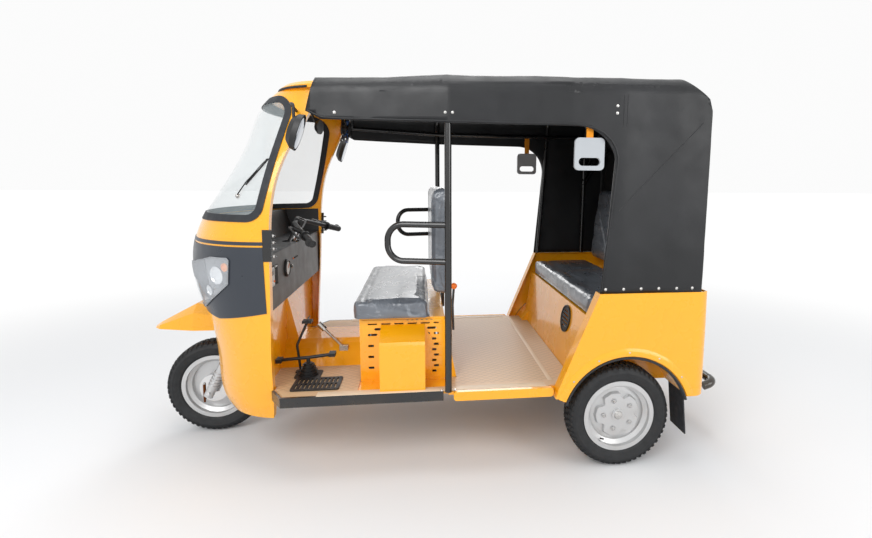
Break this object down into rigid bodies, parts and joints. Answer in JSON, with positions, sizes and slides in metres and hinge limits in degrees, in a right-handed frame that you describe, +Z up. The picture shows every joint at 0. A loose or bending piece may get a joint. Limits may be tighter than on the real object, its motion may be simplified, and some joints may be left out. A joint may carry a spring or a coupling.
{
  "type": "auto rickshaw",
  "caption": "Open-sided auto rickshaw: raked steered front wheel, wrap-round nose and windscreen, box driver seat, rear passenger bench under a fabric hood.",
  "frame": {"origin": "on the ground at the middle of the overall length and width", "axes": "+X forward, +Y to the vehicle's left, +Z up"},
  "size_m": [2.85, 1.3318, 1.7746],
  "materials": {
    "black_plastic": "grained",
    "body_paint": "gloss",
    "dash_plastic": "grained",
    "engine_metal": "cast",
    "exhaust_steel": "dull",
    "fascia_plastic": "satin",
    "flap_rubber": "matt",
    "floor_mat": "embossed",
    "fork_chrome": "bright",
    "frame_paint": "gloss",
    "handle_plastic": "gloss",
    "hood_fabric": "coated",
    "lamp_lens": "clear",
    "screen_glass": "clear",
    "seal_rubber": "matt",
    "seat_cover": "film-covered",
    "spring_steel": "dark",
    "steel_bright": "bright",
    "strap_webbing": "woven",
    "tyre_rubber": "matt",
    "wheel_silver": "silver"
  },
  "bodies": {
    "root": {"arm_hoops": "frame_paint", "backrest_frame": "frame_paint", "battery_box": "body_paint", "bench_vent": "black_plastic", "cabin_fan": "black_plastic", "cabin_mirror": "black_plastic", "centre_tunnel": "body_paint", "chassis_frame": "frame_paint", "dash_tray": "black_plastic", "dashboard": "dash_plastic", "door_hinges": "frame_paint", "driver_backrest": "seat_cover", "driver_cushion": "seat_cover", "engine": "engine_metal", "exhaust": "exhaust_steel", "floor_mats": "floor_mat", "floor_pan": "body_paint", "foot_controls": "black_plastic", "footwell_grille": "black_plastic", "front_cowl": "body_paint", "front_fascia": "fascia_plastic", "front_sills": "frame_paint", "grab_handles": "handle_plastic", "grab_straps": "strap_webbing", "hand_lever": "steel_bright", "headlamps": "lamp_lens", "hood": "hood_fabric", "leaf_springs": "spring_steel", "mud_flaps": "flap_rubber", "passenger_backrest": "seat_cover", "passenger_bench": "body_paint", "passenger_cushion": "seat_cover", "rear_axle": "frame_paint", "rear_body": "body_paint", "rear_bumper": "frame_paint", "rear_sills": "body_paint", "roof_cap": "body_paint", "roof_frame": "frame_paint", "seat_base": "body_paint", "seat_grilles": "body_paint", "side_mirrors": "black_plastic", "tail_lamps": "lamp_lens", "toe_board": "body_paint", "windscreen_frame": "body_paint", "windscreen_glass": "screen_glass", "windscreen_seal": "seal_rubber"},
    "steering": {"front_fork": "fork_chrome", "fork_sliders": "wheel_silver", "front_axle": "fork_chrome", "handlebar": "black_plastic", "front_mudguard": "body_paint", "hand_grips": "black_plastic"},
    "front_wheel": {"front_tyre": "tyre_rubber", "front_rim": "wheel_silver"},
    "rear_wheel_left": {"rear_tyre_left": "tyre_rubber", "rear_rim_left": "wheel_silver"},
    "rear_wheel_right": {"rear_tyre_right": "tyre_rubber", "rear_rim_right": "wheel_silver"}
  },
  "joints": [
    {"name": "steer", "type": "hinge", "parent": "root", "child": "steering", "pos_m": [1.26, 0, 0], "axis": [-0.454, 0, 0.891], "range_deg": [-40, 40]},
    {"name": "front_wheel_spin", "type": "hinge", "parent": "steering", "child": "front_wheel", "pos_m": [1.15, 0, 0.244], "axis": [0, 1, 0], "continuous": true},
    {"name": "rear_wheel_left_spin", "type": "hinge", "parent": "root", "child": "rear_wheel_left", "pos_m": [-0.835, 0.562, 0.244], "axis": [0, 1, 0], "continuous": true},
    {"name": "rear_wheel_right_spin", "type": "hinge", "parent": "root", "child": "rear_wheel_right", "pos_m": [-0.835, -0.562, 0.244], "axis": [0, 1, 0], "continuous": true}
  ]
}
